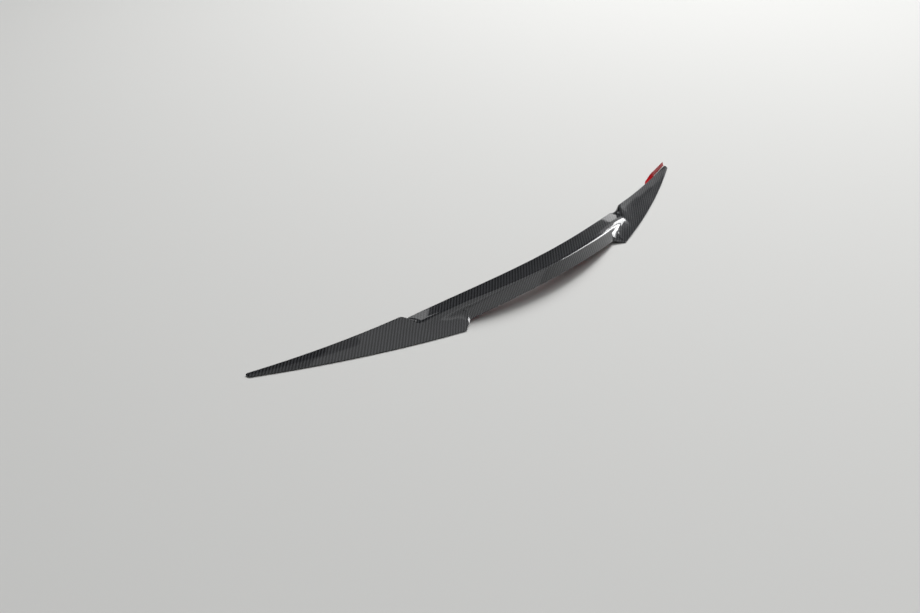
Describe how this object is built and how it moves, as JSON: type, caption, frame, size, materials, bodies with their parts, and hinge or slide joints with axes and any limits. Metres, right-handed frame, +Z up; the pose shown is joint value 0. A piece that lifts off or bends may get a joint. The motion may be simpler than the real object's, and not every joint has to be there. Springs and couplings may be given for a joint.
{
  "type": "car rear spoiler",
  "caption": "Bowed carbon boot-lid lip spoiler with a recessed middle, two pointed wings, notched rear edge and adhesive foam tape under its edges.",
  "frame": {"origin": "on the floor, under the middle of the bounding box, in the plane of symmetry of the moulding", "axes": "+X along the span to the right as seen from behind, +Y forward towards the front of the car, +Z up"},
  "size_m": [1.24, 0.1945, 0.0537],
  "materials": {
    "carbon_laminate": "clear-coated 2x2 twill carbon laminate",
    "foam_tape": "matt acrylic foam",
    "release_film": "red polyethylene film"
  },
  "bodies": {
    "root": {"spoiler_shell": "carbon_laminate", "front_tape_left": "foam_tape", "front_tape_centre": "foam_tape", "front_tape_right": "foam_tape", "rear_tape_left": "foam_tape", "rear_tape_centre": "foam_tape", "rear_tape_right": "foam_tape", "front_liner_left": "release_film", "front_liner_centre": "release_film", "front_liner_right": "release_film", "rear_liner_left": "release_film", "rear_liner_centre": "release_film", "rear_liner_right": "release_film"}
  },
  "joints": []
}
